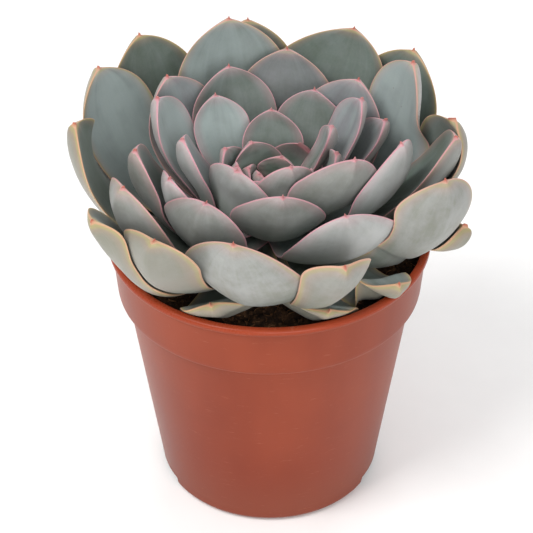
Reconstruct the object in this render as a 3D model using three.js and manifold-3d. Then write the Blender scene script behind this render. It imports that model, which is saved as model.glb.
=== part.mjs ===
// A rosette succulent in a round plastic nursery pot: pot, soil, stem and one solid for each leaf.
// Units are millimetres and +Z is up. The origin is the middle of the pot's flat foot.
import * as THREE from "three";
import { mergeVertices } from "three/addons/utils/BufferGeometryUtils.js";
import Module from "manifold-3d";

const wasm = await Module();
wasm.setup();

const GAP = 0.3; // air between pieces that touch
const LEAF_GAP = 0.6; // air between leaves

// Pot: a 120 mm nursery pot with a rolled lip, a collar band and a tapered wall.
const POT_HEIGHT = 107;
const RIM_RADIUS = 60;
const FOOT_RADIUS = 40;
const HEEL_RADIUS = 42.6; // the wall where it meets the rounded heel
const HEEL_HEIGHT = 3;
const BAND_RADIUS = 57; // lower edge of the collar band
const BAND_HEIGHT = 22;
const WALL_TOP_RADIUS = 53.8; // the wall just under the collar band
const WALL = 1.6;
const LIP_OVERHANG = 1.6;
const LIP_HEIGHT = 3;
const POT_SIDES = 48;

// Drainage: two raised corners left and right, and a ring of holes in the floor.
const DRAIN_CORNER_ANGLE = 64; // degrees that each raised corner spans
const DRAIN_CORNER_RISE = 4.5;
const CORNER_RADIUS = 36; // where the slope of a raised corner meets the foot
const CORNER_STEPS = 8;
const CHAMFER_TOP = 8; // the inside corner of the floor is filled up to here
const CHAMFER_FOOT_RADIUS = 33.5;
const DRAIN_HOLES = 6;
const DRAIN_HOLE_RADIUS = 3;
const DRAIN_HOLE_CIRCLE = 26;

// Soil and stem.
const SOIL_TOP = 99.5;
const SOIL_MOUND = 1.5;
const STEM_RADIUS = 8;
const STEM_TOP_RADIUS = 3;
const STEM_FOOT = -22; // heights on the stem are taken from the rim
const STEM_SHOULDER = -2;
const STEM_TOP = 20;
const STEM_SIDES = 16;

// Rosette: leaf number n stands a golden angle on from leaf n - 1, counted from the middle outwards.
const SPIRAL_LEAVES = 56;
const GOLDEN_ANGLE = 137.508;
const SPIRAL_START = 356.7;
const FRONT_TILT = 3.8; // degrees that the rosette leans towards the front, -Y
const SIDE_TILT = 4.1; // degrees that it leans towards +X
const FALLEN_LEAVES = new Set([29, 32, 37, 38, 43, 53, 55]); // places on the spiral that are bare

// How a leaf changes from the heart of the rosette outwards: one value for every tenth leaf.
const TIP_REACH = [6, 16, 38, 51, 64, 78, 79];
const TIP_LIFT = [29, 34, 40, 42, 44, 44, 34]; // above the rim
const BASE_LIFT = [20, 14, 8, 3, -2, -5, -6];
const HALF_WIDTH = [6, 10, 15.5, 17.5, 20, 18, 15];
const TIP_ANGLE = [95, 88, 84, 86, 90, 88, 70]; // slope of the midline at the tip, degrees
const CUP_DEPTH = [2, 2.5, 3.5, 4.5, 5.5, 5.5, 4];
const THICKNESS = [2.4, 3, 3.8, 4.4, 4.8, 4.8, 4.4];

// Leaves that crowd their neighbours grow a little off the spiral: [turn in degrees, reach, lift].
const NUDGES = {
  1: [-8, 0, 0],
  2: [-10, 0, 0],
  3: [4, 0, 2],
  4: [10, 0, -2],
  5: [9, 15, 7],
  7: [12, 2, 0],
  10: [-6, 0, -2],
  11: [3, -2, 8],
  12: [9, 0, -4],
  14: [-3, -3, 4],
  16: [16, 1, 9],
  17: [0, 3, 2],
  18: [-2, 7, 6],
  19: [9, -2, 4],
  21: [7, 4, 6],
  22: [0, 4, 0],
  23: [-4, 0, -2],
  24: [5, 3, 0],
  25: [0, 3, 5],
  26: [6, 0, -2],
  27: [-6, 0, 2],
  28: [5, 2, 0],
  34: [0, 8, 4],
  30: [0, 1, 0],
  35: [-9, 8, 3],
  39: [5, 2, 8],
  41: [-12, 1, 8],
  42: [1, -5, -3],
  44: [0, 3, 5],
  45: [0, 0, -3],
  46: [0, 4, 0],
  47: [0, -9, 1],
  50: [32, -14, -26],
  51: [-2, -5, 3],
  52: [2, 0, 4],
  54: [0, 2, 4],
};

// Some leaves also twist about their midline (roll, degrees), sway to one side (sway, millimetres at
// half length), grow broader or narrower (wide) or stand steeper at the tip (steep, degrees). The low
// leaves count on from the last place of the spiral.
const HABITS = {
  2: { wide: 1.2 },
  5: { roll: -30, wide: 0.65 },
  7: { wide: 1.25 },
  10: { wide: 1.1 },
  11: { wide: 1.1 },
  14: { wide: 1.4, sway: -1 },
  15: { wide: 0.9, sway: -1 },
  16: { roll: -45, wide: 1.3, sway: -4 },
  17: { roll: 12, wide: 0.9 },
  18: { roll: -20, wide: 0.72 },
  19: { wide: 1.15 },
  20: { roll: -20, wide: 0.7 },
  21: { roll: -32, wide: 1.15, sway: -3, steep: 15 },
  23: { wide: 0.87, sway: -3 },
  24: { roll: -6, wide: 1.38, sway: 7, steep: 14 },
  25: { roll: 3, wide: 0.8 },
  26: { roll: -10, wide: 0.5, sway: 4 },
  27: { sway: -5, steep: 10 },
  30: { wide: 0.85 },
  34: { roll: -16, wide: 0.9, sway: 4 },
  35: { sway: -3 },
  36: { sway: -3 },
  39: { roll: -15, wide: 0.85, sway: -3 },
  40: { wide: 1.1, sway: 4 },
  41: { wide: 1.12 },
  42: { roll: -48, wide: 1, sway: -4, steep: 8 },
  44: { wide: 1.25, sway: 8 },
  45: { wide: 0.68, sway: 3, steep: -20 },
  46: { roll: -8 },
  47: { roll: -5, wide: 0.8 },
  48: { wide: 0.88, sway: -7, steep: -8 },
  50: { wide: 0.4, steep: -5 },
  51: { roll: -8 },
  52: { wide: 1.1, sway: -4 },
  54: { wide: 1.15 },
  56: { roll: 10, wide: 0.85, steep: -25 },
  57: { roll: 34, wide: 1.15, sway: 4, steep: -12 },
  58: { roll: -24, wide: 1.2, sway: -3, steep: -5 },
  59: { roll: -24, wide: 0.8, steep: -5 },
};

// The oldest leaves lie low on the soil: [azimuth in degrees, reach, lift of the tip above the rim].
const LOW_LEAVES = [
  [249, 57, 10],
  [290, 56, 10],
  [317, 61, 13],
  [207, 58, 9],
  [150, 58, 9],
  [95, 60, 9],
  [35, 60, 9],
];
const LOW_LEAF = { base: -3, halfWidth: 14, tipAngle: 80, cup: 3, thickness: 4 };

// Shape that all leaves share.
const BASE_RADIUS = 6;
const BODY_STATIONS = [0, 0.35, 0.7, 1]; // shares of the length from the base to the widest place
const END_STATIONS = [0.45, 0.8, 0.99]; // shares of the length from there to the tip
const END_LENGTH = 1.2; // length from the widest place to the tip, in half widths
const RING_POINTS = 6;
const BASE_SHARE = 0.3; // width at the base, as a share of the widest
const TWIST_END = 0.7; // share of the length at which a leaf has its whole roll

const radians = THREE.MathUtils.degToRad;

const materials = {
  pot: new THREE.MeshStandardMaterial({ color: 0xa85843, roughness: 0.55, metalness: 0 }),
  soil: new THREE.MeshStandardMaterial({ color: 0x35241a, roughness: 1, metalness: 0 }),
  stem: new THREE.MeshStandardMaterial({ color: 0x7b7a52, roughness: 0.8, metalness: 0 }),
  leaf: new THREE.MeshStandardMaterial({ color: 0x8fa39a, roughness: 0.5, metalness: 0 }),
};

// A closed geometry as a manifold-3d solid, turned the right way out.
function solidOf(geometry) {
  const bare = geometry.clone();
  bare.deleteAttribute("normal");
  bare.deleteAttribute("uv");
  const merged = mergeVertices(bare, 1e-4);
  const vertProperties = new Float32Array(merged.attributes.position.array);
  const triVerts = new Uint32Array(merged.index.array);
  const solid = new wasm.Manifold(new wasm.Mesh({ numProp: 3, vertProperties, triVerts }));
  if (solid.volume() > 0) {
    return solid;
  }
  triVerts.reverse();
  return new wasm.Manifold(new wasm.Mesh({ numProp: 3, vertProperties, triVerts }));
}

// The largest body of a solid as a geometry.
function geometryOf(solid) {
  const bodies = solid.decompose();
  bodies.sort((a, b) => b.volume() - a.volume());
  const mesh = bodies[0].getMesh();
  const geometry = new THREE.BufferGeometry();
  geometry.setAttribute("position", new THREE.BufferAttribute(new Float32Array(mesh.vertProperties), 3));
  geometry.setIndex(new THREE.BufferAttribute(new Uint32Array(mesh.triVerts), 1));
  geometry.computeVertexNormals();
  return geometry;
}

function namedMesh(name, geometry, material) {
  const mesh = new THREE.Mesh(geometry, material);
  mesh.name = name;
  return mesh;
}

// A profile of [radius, height] pairs turned about the vertical axis.
function turned(profile, sides) {
  const points = profile.map(([radius, height]) => new THREE.Vector2(radius, height));
  return new THREE.LatheGeometry(points, sides).rotateX(Math.PI / 2);
}

// Value of a growth table at leaf n, on straight lines between every tenth leaf.
function grown(table, n) {
  const step = Math.min(n / 10, table.length - 1);
  const below = Math.min(Math.floor(step), table.length - 2);
  return THREE.MathUtils.lerp(table[below], table[below + 1], step - below);
}

// Inner radius of the pot at a height, WALL inside the tapered wall or the collar band.
function innerRadius(height) {
  const bandFoot = POT_HEIGHT - BAND_HEIGHT;
  if (height > bandFoot + WALL) {
    const share = (height - bandFoot) / BAND_HEIGHT;
    return THREE.MathUtils.lerp(BAND_RADIUS, RIM_RADIUS - LIP_OVERHANG, share) - WALL;
  }
  const share = Math.min((height - HEEL_HEIGHT) / (bandFoot - HEEL_HEIGHT), 1);
  return THREE.MathUtils.lerp(HEEL_RADIUS, WALL_TOP_RADIUS, share) - WALL;
}

// Pot: one closed shell, outside from the foot to the lip and back down inside to the floor.
function buildPot() {
  const bandFoot = POT_HEIGHT - BAND_HEIGHT;
  const neck = RIM_RADIUS - LIP_OVERHANG;
  const profile = [
    [0, 0],
    [FOOT_RADIUS, 0],
    [HEEL_RADIUS - 0.7, 0.9],
    [HEEL_RADIUS, HEEL_HEIGHT],
    [WALL_TOP_RADIUS, bandFoot - 1],
    [BAND_RADIUS - 0.4, bandFoot - 0.2],
    [BAND_RADIUS, bandFoot + 0.6],
    [neck, POT_HEIGHT - LIP_HEIGHT],
    [RIM_RADIUS - 0.3, POT_HEIGHT - LIP_HEIGHT + 0.5],
    [RIM_RADIUS, POT_HEIGHT - LIP_HEIGHT / 2],
    [RIM_RADIUS - 0.5, POT_HEIGHT - 0.3],
    [RIM_RADIUS - 1.2, POT_HEIGHT],
    [neck - WALL + 0.3, POT_HEIGHT - 0.3],
    ...insideOfPot(POT_HEIGHT - LIP_HEIGHT, 0),
  ];
  let pot = solidOf(turned(profile, POT_SIDES));
  for (const side of [0, 180]) {
    pot = pot.subtract(drainCorner(side));
  }
  for (let i = 0; i < DRAIN_HOLES; i += 1) {
    const angle = radians((360 / DRAIN_HOLES) * (i + 0.5));
    const hole = new THREE.CylinderGeometry(DRAIN_HOLE_RADIUS, DRAIN_HOLE_RADIUS, 4 * WALL, 16);
    hole.rotateX(Math.PI / 2);
    hole.translate(DRAIN_HOLE_CIRCLE * Math.cos(angle), DRAIN_HOLE_CIRCLE * Math.sin(angle), 0);
    pot = pot.subtract(solidOf(hole));
  }
  return namedMesh("pot", geometryOf(pot), materials.pot);
}

// Profile of the pot's inside from a height down to the middle of the floor, drawn in by a gap.
function insideOfPot(top, gap) {
  const bandFoot = POT_HEIGHT - BAND_HEIGHT;
  return [
    [innerRadius(top) - gap, top],
    [innerRadius(bandFoot + WALL + 0.1) - gap, bandFoot + WALL + 0.1 + gap],
    [innerRadius(bandFoot) - gap, bandFoot + gap],
    [innerRadius(CHAMFER_TOP) - gap, CHAMFER_TOP + gap],
    [CHAMFER_FOOT_RADIUS - gap, WALL + gap],
    [0, WALL + gap],
  ];
}

// Wedge that a raised drain corner takes out of the foot.
function drainCorner(side) {
  const low = -2;
  const section = [
    [CORNER_RADIUS + low, low],
    [RIM_RADIUS, low],
    [RIM_RADIUS, DRAIN_CORNER_RISE],
    [CORNER_RADIUS + DRAIN_CORNER_RISE, DRAIN_CORNER_RISE],
  ];
  const rings = [];
  for (let i = 0; i <= CORNER_STEPS; i += 1) {
    const angle = radians(side + DRAIN_CORNER_ANGLE * (i / CORNER_STEPS - 0.5));
    rings.push(section.map(([r, z]) => [r * Math.cos(angle), r * Math.sin(angle), z]));
  }
  return solidOf(lofted(rings));
}

// Closed body through rings of points: each ring is joined to the next, and the end rings are capped.
function lofted(rings) {
  const ring = rings[0].length;
  const last = (rings.length - 1) * ring;
  const index = [];
  for (let i = 0; i < last; i += ring) {
    for (let j = 0; j < ring; j += 1) {
      const a = i + j;
      const b = i + ((j + 1) % ring);
      index.push(a, b, b + ring, a, b + ring, a + ring);
    }
  }
  for (let j = 1; j < ring - 1; j += 1) {
    index.push(0, j + 1, j, last, last + j, last + j + 1);
  }
  const geometry = new THREE.BufferGeometry();
  geometry.setAttribute("position", new THREE.Float32BufferAttribute(rings.flat(2), 3));
  geometry.setIndex(index);
  return geometry;
}

// The lean of the whole rosette, taken about the middle of the rim.
const rosetteLean = new THREE.Matrix4()
  .makeTranslation(0, 0, POT_HEIGHT)
  .multiply(new THREE.Matrix4().makeRotationY(radians(SIDE_TILT)))
  .multiply(new THREE.Matrix4().makeRotationX(radians(FRONT_TILT)));

// Stem: a short tapering cone that leans with the rosette. A gap makes it the room that it needs.
function stemSolid(gap) {
  const profile = [
    [0, STEM_FOOT - gap],
    [STEM_RADIUS + gap, STEM_FOOT - gap],
    [STEM_RADIUS + gap, STEM_SHOULDER],
    [STEM_TOP_RADIUS + gap, STEM_TOP - 3],
    [STEM_TOP_RADIUS / 2 + gap, STEM_TOP + gap],
    [0, STEM_TOP + gap],
  ];
  return solidOf(turned(profile, STEM_SIDES).applyMatrix4(rosetteLean));
}

// Soil: fills the pot to just under the lip, with a slight mound towards the stem.
function soilSolid() {
  const profile = [[0, SOIL_TOP + SOIL_MOUND], ...insideOfPot(SOIL_TOP, GAP)];
  return solidOf(turned(profile, POT_SIDES)).subtract(stemSolid(GAP));
}

// The pot's upper part and the soil in it, a gap larger all round: no leaf may reach into this.
function groundSolid() {
  const inner = innerRadius(SOIL_TOP) - GAP;
  const outer = RIM_RADIUS + GAP;
  const profile = [
    [0, SOIL_TOP + SOIL_MOUND + GAP],
    [inner, SOIL_TOP + GAP],
    [inner, POT_HEIGHT + GAP],
    [outer, POT_HEIGHT + GAP],
    [outer, POT_HEIGHT - BAND_HEIGHT],
    [0, POT_HEIGHT - BAND_HEIGHT],
  ];
  return solidOf(turned(profile, POT_SIDES));
}

// Where along the leaf its rings stand, and how wide each is as a share of the widest: [share, width].
function outline(length, halfWidth) {
  const widest = 1 - Math.min((END_LENGTH * halfWidth) / length, 0.5);
  const body = BODY_STATIONS.map((t) => {
    const width = BASE_SHARE + (1 - BASE_SHARE) * Math.sin((Math.PI / 2) * t) ** 1.2;
    return [widest * t, width];
  });
  const end = END_STATIONS.map((t) => [widest + (1 - widest) * t, (1 - t ** 2) ** 0.6]);
  return [...body, ...end];
}

// A leaf's plain measures with its own habit on top.
function withHabit(leaf, n) {
  const { roll = 0, sway = 0, wide = 1, steep = 0 } = HABITS[n] ?? {};
  return { ...leaf, halfWidth: leaf.halfWidth * wide, tipAngle: leaf.tipAngle + steep, roll, sway };
}

// A leaf's measures from its place on the spiral.
function spiralLeaf(n) {
  const [turn, reach, lift] = NUDGES[n] ?? [0, 0, 0];
  const leaf = {
    azimuth: SPIRAL_START - GOLDEN_ANGLE * n + turn,
    reach: grown(TIP_REACH, n) + reach,
    lift: grown(TIP_LIFT, n) + lift,
    base: grown(BASE_LIFT, n),
    halfWidth: grown(HALF_WIDTH, n),
    tipAngle: grown(TIP_ANGLE, n),
    cup: grown(CUP_DEPTH, n),
    thickness: grown(THICKNESS, n),
  };
  return withHabit(leaf, n);
}

// A leaf: its midline is an arc in an upright plane through the stem, from the base to the tip, and
// its section is a lens bent into a cup. A skin all round makes it the room that it needs.
function leafSolid(leaf, skin) {
  const tipSlope = radians(leaf.tipAngle);
  const run = leaf.reach - BASE_RADIUS;
  const rise = leaf.lift - leaf.base;
  const baseSlope = 2 * Math.atan2(rise, run) - tipSlope;
  const arcRadius = Math.hypot(run, rise) / (2 * Math.sin((tipSlope - baseSlope) / 2));
  const length = arcRadius * (tipSlope - baseSlope);
  const turn = new THREE.Matrix4().makeRotationZ(radians(leaf.azimuth));
  const place = rosetteLean.clone().multiply(turn);
  const stations = outline(length, leaf.halfWidth);
  const rings = stations.map(([u, share], station) => {
    const slope = baseSlope + (tipSlope - baseSlope) * u;
    const wide = leaf.halfWidth * share;
    const roll = radians(leaf.roll) * THREE.MathUtils.smoothstep(u, 0, TWIST_END);
    const sway = leaf.sway * Math.sin(Math.PI * u);
    let overhang = 0; // the skin beyond the two end rings
    if (station === 0) {
      overhang = -skin;
    } else if (station === stations.length - 1) {
      overhang = skin;
    }
    const r = BASE_RADIUS + arcRadius * (Math.sin(slope) - Math.sin(baseSlope)) + overhang * Math.cos(slope);
    const z = leaf.base + arcRadius * (Math.cos(baseSlope) - Math.cos(slope)) + overhang * Math.sin(slope);
    const ring = [];
    for (let j = 0; j < RING_POINTS; j += 1) {
      const around = (2 * Math.PI * j) / RING_POINTS;
      const across = (wide + skin) * Math.cos(around);
      const lens = ((leaf.thickness / 2) * Math.sqrt(share) + skin) * Math.sin(around);
      const cupped = lens + leaf.cup * share * (across / wide) ** 2;
      const side = across * Math.cos(roll) - cupped * Math.sin(roll) + sway;
      const up = across * Math.sin(roll) + cupped * Math.cos(roll);
      const point = new THREE.Vector3(r - up * Math.sin(slope), side, z + up * Math.cos(slope));
      ring.push(point.applyMatrix4(place).toArray());
    }
    return ring;
  });
  return solidOf(lofted(rings));
}

// True where the boxes round two solids meet.
function boxesMeet(a, b) {
  const one = a.boundingBox();
  const two = b.boundingBox();
  return [0, 1, 2].every((k) => one.min[k] < two.max[k] && two.min[k] < one.max[k]);
}

const succulent = new THREE.Group();
succulent.name = "potted_succulent";
succulent.add(buildPot());
succulent.add(namedMesh("soil", geometryOf(soilSolid()), materials.soil));
succulent.add(namedMesh("stem", geometryOf(stemSolid(0)), materials.stem));

const leaves = [];
for (let n = 1; n <= SPIRAL_LEAVES; n += 1) {
  if (!FALLEN_LEAVES.has(n)) {
    leaves.push(spiralLeaf(n));
  }
}
LOW_LEAVES.forEach(([azimuth, reach, lift], i) => {
  leaves.push(withHabit({ ...LOW_LEAF, azimuth, reach, lift }, SPIRAL_LEAVES + 1 + i));
});

// Each leaf gives way to the younger ones inside it, to the stem and to the ground.
const taken = [groundSolid(), stemSolid(GAP)];
leaves.forEach((leaf, i) => {
  let solid = leafSolid(leaf, 0);
  for (const room of taken) {
    if (boxesMeet(solid, room)) {
      solid = solid.subtract(room);
    }
  }
  taken.push(leafSolid(leaf, LEAF_GAP));
  const name = "leaf_" + String(i + 1).padStart(2, "0");
  succulent.add(namedMesh(name, geometryOf(solid), materials.leaf));
});

export default succulent;
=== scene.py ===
"""A rosette succulent in a round plastic nursery pot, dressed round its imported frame.

The frame gives every leaf's tip, the pot's lip and the soil's place. The classes below turn them into
fine surfaces: each leaf is a cupped, keeled spoon with a thin rosy margin and a small hooked tip.
Lengths inside the classes are millimetres about the middle of the rim unless a name says otherwise.
"""
import logging
import math
from dataclasses import dataclass, field, replace
from enum import Enum
from typing import Callable, Sequence, Union

import bpy
import numpy as np
from mathutils import Matrix, Vector


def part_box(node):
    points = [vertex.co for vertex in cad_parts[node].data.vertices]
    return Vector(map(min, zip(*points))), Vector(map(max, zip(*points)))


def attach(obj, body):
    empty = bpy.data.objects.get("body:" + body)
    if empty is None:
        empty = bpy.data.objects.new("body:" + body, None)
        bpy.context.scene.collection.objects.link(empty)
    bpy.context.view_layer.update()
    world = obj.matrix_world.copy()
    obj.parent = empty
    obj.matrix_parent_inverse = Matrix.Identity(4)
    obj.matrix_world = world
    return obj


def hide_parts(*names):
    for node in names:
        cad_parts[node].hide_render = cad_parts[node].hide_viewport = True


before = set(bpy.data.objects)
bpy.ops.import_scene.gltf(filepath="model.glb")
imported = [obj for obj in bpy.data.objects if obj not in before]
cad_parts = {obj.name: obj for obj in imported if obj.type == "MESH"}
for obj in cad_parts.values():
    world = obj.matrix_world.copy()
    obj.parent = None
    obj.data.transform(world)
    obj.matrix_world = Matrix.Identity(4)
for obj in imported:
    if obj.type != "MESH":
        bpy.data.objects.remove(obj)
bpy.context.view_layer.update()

MM = 0.001
ROOT = "root"
LOG = logging.getLogger("succulent")

Array = np.ndarray
Material = bpy.types.Material
Number = Union[int, float]
Term = Union["Socket", int, float]


# Shader expressions


def operator(operation: str, reflected: bool = False) -> Callable:
    """An operator that adds one Math node.

    Args:
        operation: The Math node's operation.
        reflected: Whether the other operand comes first.

    Returns:
        The method.
    """
    def method(self: "Socket", other: Term) -> "Socket":
        """Adds the node and gives its value."""
        first, second = (other, self) if reflected else (self, other)
        return self.graph.node("ShaderNodeMath", {"operation": operation}, {0: first, 1: second})

    return method


class Socket:
    """One output of a shader graph, used in Python expressions that add their own Math nodes."""

    __add__ = operator("ADD")
    __radd__ = operator("ADD", True)
    __sub__ = operator("SUBTRACT")
    __rsub__ = operator("SUBTRACT", True)
    __mul__ = operator("MULTIPLY")
    __truediv__ = operator("DIVIDE")

    def __init__(self, graph: "Graph", output: bpy.types.NodeSocket) -> None:
        """Keeps the graph and the output that this expression stands for."""
        self.graph = graph
        self.output = output

    def ramp(self, low: float, high: float) -> "Socket":
        """Smooth step from 0 at low to 1 at high, which may be the smaller of the two.

        Args:
            low: Value that gives 0.
            high: Value that gives 1.

        Returns:
            The smooth step.
        """
        settings = {"interpolation_type": "SMOOTHSTEP", "clamp": True}
        inputs = {"Value": self, "From Min": low, "From Max": high}
        return self.graph.node("ShaderNodeMapRange", settings, inputs)

    def clamped(self) -> "Socket":
        """The value held between 0 and 1."""
        return self.graph.node("ShaderNodeClamp", {}, {"Value": self})


Value = Union[Socket, Number, Sequence[float]]


class Graph:
    """A material's node tree, written as expressions."""

    def __init__(self, name: str) -> None:
        """Starts a material with an empty tree and its output node."""
        self.material = bpy.data.materials.new(name)
        self.material.use_nodes = True
        self.tree = self.material.node_tree
        self.tree.nodes.clear()
        self.end = self.tree.nodes.new("ShaderNodeOutputMaterial")

    def node(self, kind: str, settings: dict, inputs: dict, output: Union[int, str] = 0) -> Socket:
        """Adds one node of any type.

        Args:
            kind: The node's type.
            settings: Its properties, set before its inputs.
            inputs: Values or links, by socket name or number.
            output: The output that the expression stands for.

        Returns:
            That output.
        """
        made = self.tree.nodes.new(kind)
        for key, value in settings.items():
            setattr(made, key, value)
        for key, value in inputs.items():
            target = made.inputs[key]
            if isinstance(value, Socket):
                self.tree.links.new(value.output, target)
            else:
                target.default_value = value
        return Socket(self, made.outputs[output])

    def attribute(self, name: str) -> Socket:
        """A number that the piece's own mesh carries at each point."""
        return self.node("ShaderNodeAttribute", {"attribute_name": name}, {}, "Fac")

    def place(self, scale: Sequence[float] = (1.0, 1.0, 1.0)) -> Socket:
        """Object coordinates, stretched by a Mapping node.

        Args:
            scale: Stretch along each axis.

        Returns:
            The coordinates.
        """
        coordinates = self.node("ShaderNodeTexCoord", {}, {}, "Object")
        return self.node("ShaderNodeMapping", {}, {"Vector": coordinates, "Scale": tuple(scale)})

    def blade(self, scale: Sequence[float]) -> Socket:
        """The piece's own UV map, stretched, for patterns that follow its surface.

        Args:
            scale: Stretch along each direction.

        Returns:
            The coordinates.
        """
        coordinates = self.node("ShaderNodeUVMap", {"uv_map": "surface"}, {})
        return self.node("ShaderNodeMapping", {}, {"Vector": coordinates, "Scale": tuple(scale)})

    def noise(self, where: Socket, scale: float, detail: float, rough: float = 0.5) -> Socket:
        """Fractal noise between 0 and 1.

        Args:
            where: Coordinates.
            scale: Lumps per unit of the coordinates.
            detail: Octaves.
            rough: Share of each finer octave.

        Returns:
            The noise.
        """
        inputs = {"Vector": where, "Scale": scale, "Detail": detail, "Roughness": rough}
        return self.node("ShaderNodeTexNoise", {}, inputs, "Fac")

    def cells(self, where: Socket, scale: float) -> Socket:
        """Distance to the nearest of scattered points.

        Args:
            where: Coordinates.
            scale: Points per unit of the coordinates.

        Returns:
            The distance.
        """
        return self.node("ShaderNodeTexVoronoi", {}, {"Vector": where, "Scale": scale}, "Distance")

    def mix(self, share: Value, first: Value, second: Value) -> Socket:
        """Blend of two colours.

        Args:
            share: 0 gives the first, 1 the second.
            first: Colour or link.
            second: Colour or link.

        Returns:
            The blend.
        """
        inputs = {0: share, 6: first, 7: second}
        return self.node("ShaderNodeMix", {"data_type": "RGBA"}, inputs, 2)

    def bump(self, height: Socket, strength: float, distance_mm: float) -> Socket:
        """Normal of a fine relief.

        Args:
            height: Relief from 0 to 1.
            strength: Share of the relief that shows.
            distance_mm: Depth of the relief.

        Returns:
            The normal.
        """
        inputs = {"Height": height, "Strength": strength, "Distance": distance_mm * MM}
        return self.node("ShaderNodeBump", {}, inputs)

    def finish(self, links: dict, constants: dict) -> Material:
        """Closes the graph with its shader.

        Args:
            links: Values that change over the surface, by shader socket.
            constants: Numbers and colours that are the same all over, by shader socket.

        Returns:
            The finished material.
        """
        shader = self.tree.nodes.new("ShaderNodeBsdfPrincipled")
        for key, value in constants.items():
            shader.inputs[key].default_value = value
        for key, value in links.items():
            self.tree.links.new(value.output, shader.inputs[key])
        self.tree.links.new(shader.outputs[0], self.end.inputs[0])
        return self.material


def srgb(red: int, green: int, blue: int) -> tuple:
    """A linear colour, with its alpha, from its usual 0 to 255 values."""
    linear = [
        c / 12.92 if c <= 0.04045 else ((c + 0.055) / 1.055) ** 2.4
        for c in (red / 255, green / 255, blue / 255)
    ]
    return (*linear, 1.0)


BLACK = srgb(0, 0, 0)
WHITE = srgb(255, 255, 255)


# Mesh helpers


def linked(name: str, data: bpy.types.ID) -> bpy.types.Object:
    """A new object of the scene that holds some data."""
    made = bpy.data.objects.new(name, data)
    bpy.context.scene.collection.objects.link(made)
    return made


@dataclass
class Surface:
    """Points and faces of one piece, in metres, with the numbers that its points carry."""

    points: Array
    faces: list
    carried: dict = field(default_factory=dict)
    uv: Union[Array, None] = None
    smooth: bool = True

    def made(
        self, name: str, slot: str, material: Material, replaces: Sequence[str] = ()
    ) -> bpy.types.Object:
        """Puts the surface into the scene as a piece that rides on the root body.

        Args:
            name: The piece's name.
            slot: The name of a material slot; it is not used.
            material: Its finish.
            replaces: The frame's nodes that it stands for.

        Returns:
            The piece.
        """
        mesh = bpy.data.meshes.new(name)
        mesh.from_pydata(self.points.tolist(), [], self.faces)
        for key, values in self.carried.items():
            attribute = mesh.attributes.new(key, "FLOAT", "POINT")
            attribute.data.foreach_set("value", np.asarray(values, np.float32).ravel())
        if self.uv is not None:
            corner = np.empty(len(mesh.loops), np.int32)
            mesh.loops.foreach_get("vertex_index", corner)
            layer = mesh.uv_layers.new(name="surface")
            layer.data.foreach_set("uv", self.uv[corner].astype(np.float32).ravel())
        mesh.polygons.foreach_set("use_smooth", np.full(len(mesh.polygons), self.smooth))
        mesh.materials.append(material)
        mesh.update()
        piece = linked(name, mesh)
        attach(piece, ROOT)
        if replaces:
            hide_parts(*replaces)
        LOG.info("%s: %d faces", name, len(mesh.polygons))
        return piece


def tube_faces(rows: int, columns: int) -> list:
    """Faces of a closed tube of rings, with one pole point before the first ring and one after the last.

    Args:
        rows: Number of rings.
        columns: Points in a ring.

    Returns:
        Quads between neighbouring rings and triangles at the two poles; the poles are the last two points.
    """
    row, column = np.meshgrid(np.arange(rows - 1), np.arange(columns), indexing="ij")
    across = (column + 1) % columns
    quads = np.stack([row * columns + column, row * columns + across,
                      (row + 1) * columns + across, (row + 1) * columns + column], axis=-1).reshape(-1, 4)
    step = np.arange(columns)
    after = (step + 1) % columns
    first = np.full(columns, rows * columns)
    low = np.stack([first, after, step], axis=-1)
    last = (rows - 1) * columns
    high = np.stack([first + 1, last + step, last + after], axis=-1)
    return quads.tolist() + low.tolist() + high.tolist()


def smooth_step(low: float, high: float, value: Array) -> Array:
    """Smooth step from 0 at low to 1 at high."""
    share = np.clip((value - low) / (high - low), 0.0, 1.0)
    return share * share * (3.0 - 2.0 * share)


@dataclass(frozen=True)
class Lattice:
    """Seeded value noise: random numbers on a cubic lattice, joined by smooth steps."""

    seed: int
    size: int = 32

    def at(self, points: Array, octaves: int = 1) -> Array:
        """Noise between -1 and 1.

        Args:
            points: Places, one row of three numbers each, in lattice steps.
            octaves: Layers, each twice as fine and half as strong.

        Returns:
            One number for each place.
        """
        values = np.random.default_rng(self.seed).uniform(-1, 1, (self.size,) * 3)
        total = np.zeros(points.shape[:-1])
        for octave in range(octaves):
            scaled = points * 2.0**octave + 7.3 * octave
            cell = np.floor(scaled).astype(int)
            share = scaled - cell
            share = share * share * (3 - 2 * share)
            layer = np.zeros_like(total)
            for corner in range(8):
                step = np.array([corner & 1, corner >> 1 & 1, corner >> 2 & 1])
                index = (cell + step) % self.size
                weight = np.where(step == 1, share, 1 - share).prod(axis=-1)
                layer += weight * values[index[..., 0], index[..., 1], index[..., 2]]
            total += layer * 0.5**octave
        return total


# Finishes


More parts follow.
